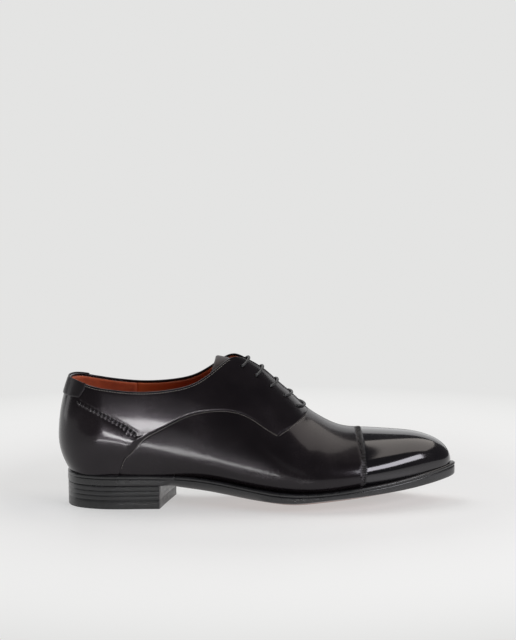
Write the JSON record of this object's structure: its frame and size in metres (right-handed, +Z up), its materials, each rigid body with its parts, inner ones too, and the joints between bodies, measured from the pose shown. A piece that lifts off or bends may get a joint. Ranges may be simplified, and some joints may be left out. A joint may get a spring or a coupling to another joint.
{
  "type": "leather oxford shoe",
  "caption": "Right cap-toe oxford shoe in leather: closed facings with straight bar lacing over a tongue, lined upper, welted sole that flexes at the ball, and a stacked heel.",
  "frame": {"origin": "on the ground under the middle of the heel's ground face", "axes": "+X to the toe, +Y to the medial side of the foot (this is a right shoe), +Z up"},
  "size_m": [0.3034, 0.1013, 0.1163],
  "materials": {
    "cap_leather": "mirror-polished black calf",
    "upper_leather": "polished black calf",
    "lining_leather": "cognac brown calf lining",
    "grip_suede": "brown suede",
    "stiffener": "natural stiffener",
    "backer_cotton": "white cotton backer",
    "tongue_leather": "matt dark brown leather",
    "lace_cotton": "black waxed cotton",
    "aglet": "black",
    "eyelet_brass": "plain",
    "welt_leather": "black, waxed edge",
    "outsole_leather": "oak-tanned brown tread, black edge",
    "heel_leather": "black, waxed edge",
    "top_rubber": "black",
    "insole_leather": "natural",
    "sock_leather": "cognac brown",
    "cork": "cork paste",
    "shank_steel": "plain",
    "nail_brass": "plain"
  },
  "bodies": {
    "rear": {"vamp": "upper_leather", "lateral_quarter": "upper_leather", "medial_quarter": "upper_leather", "heel_tab": "upper_leather", "heel_counter": "stiffener", "vamp_backer": "backer_cotton", "lateral_quarter_backer": "backer_cotton", "medial_quarter_backer": "backer_cotton", "blind_eyelets": "eyelet_brass", "vamp_lining": "lining_leather", "heel_grip": "grip_suede", "lateral_quarter_lining": "lining_leather", "medial_quarter_lining": "lining_leather", "lace": "lace_cotton", "lace_aglets": "aglet", "heel_nails": "nail_brass", "outsole_rear": "outsole_leather", "seat_rand": "welt_leather", "welt_rear": "welt_leather", "insole_rear": "insole_leather", "heel_sock": "sock_leather", "shank": "shank_steel", "waist_filler": "cork", "heel_lift_1": "heel_leather", "heel_lift_2": "heel_leather", "heel_lift_3": "heel_leather", "top_lift": "top_rubber"},
    "forepart": {"toe_cap": "cap_leather", "toe_puff": "stiffener", "outsole_forepart": "outsole_leather", "welt_forepart": "welt_leather", "insole_forepart": "insole_leather", "cork_filler": "cork"},
    "tongue": {"tongue": "tongue_leather", "tongue_lining": "lining_leather"}
  },
  "joints": [
    {"name": "ball_flex", "type": "hinge", "parent": "rear", "child": "forepart", "pos_m": [0.158, 0, 0.0217], "axis": [0, -1, 0], "range_deg": [0, 25], "stiffness_Nm_per_rad": 8, "deforming": ["vamp", "vamp_backer", "vamp_lining"]},
    {"name": "tongue_swing", "type": "hinge", "parent": "rear", "child": "tongue", "pos_m": [0.156, 0, 0.06], "axis": [0, -1, 0], "range_deg": [0, 10], "stiffness_Nm_per_rad": 0.3}
  ]
}
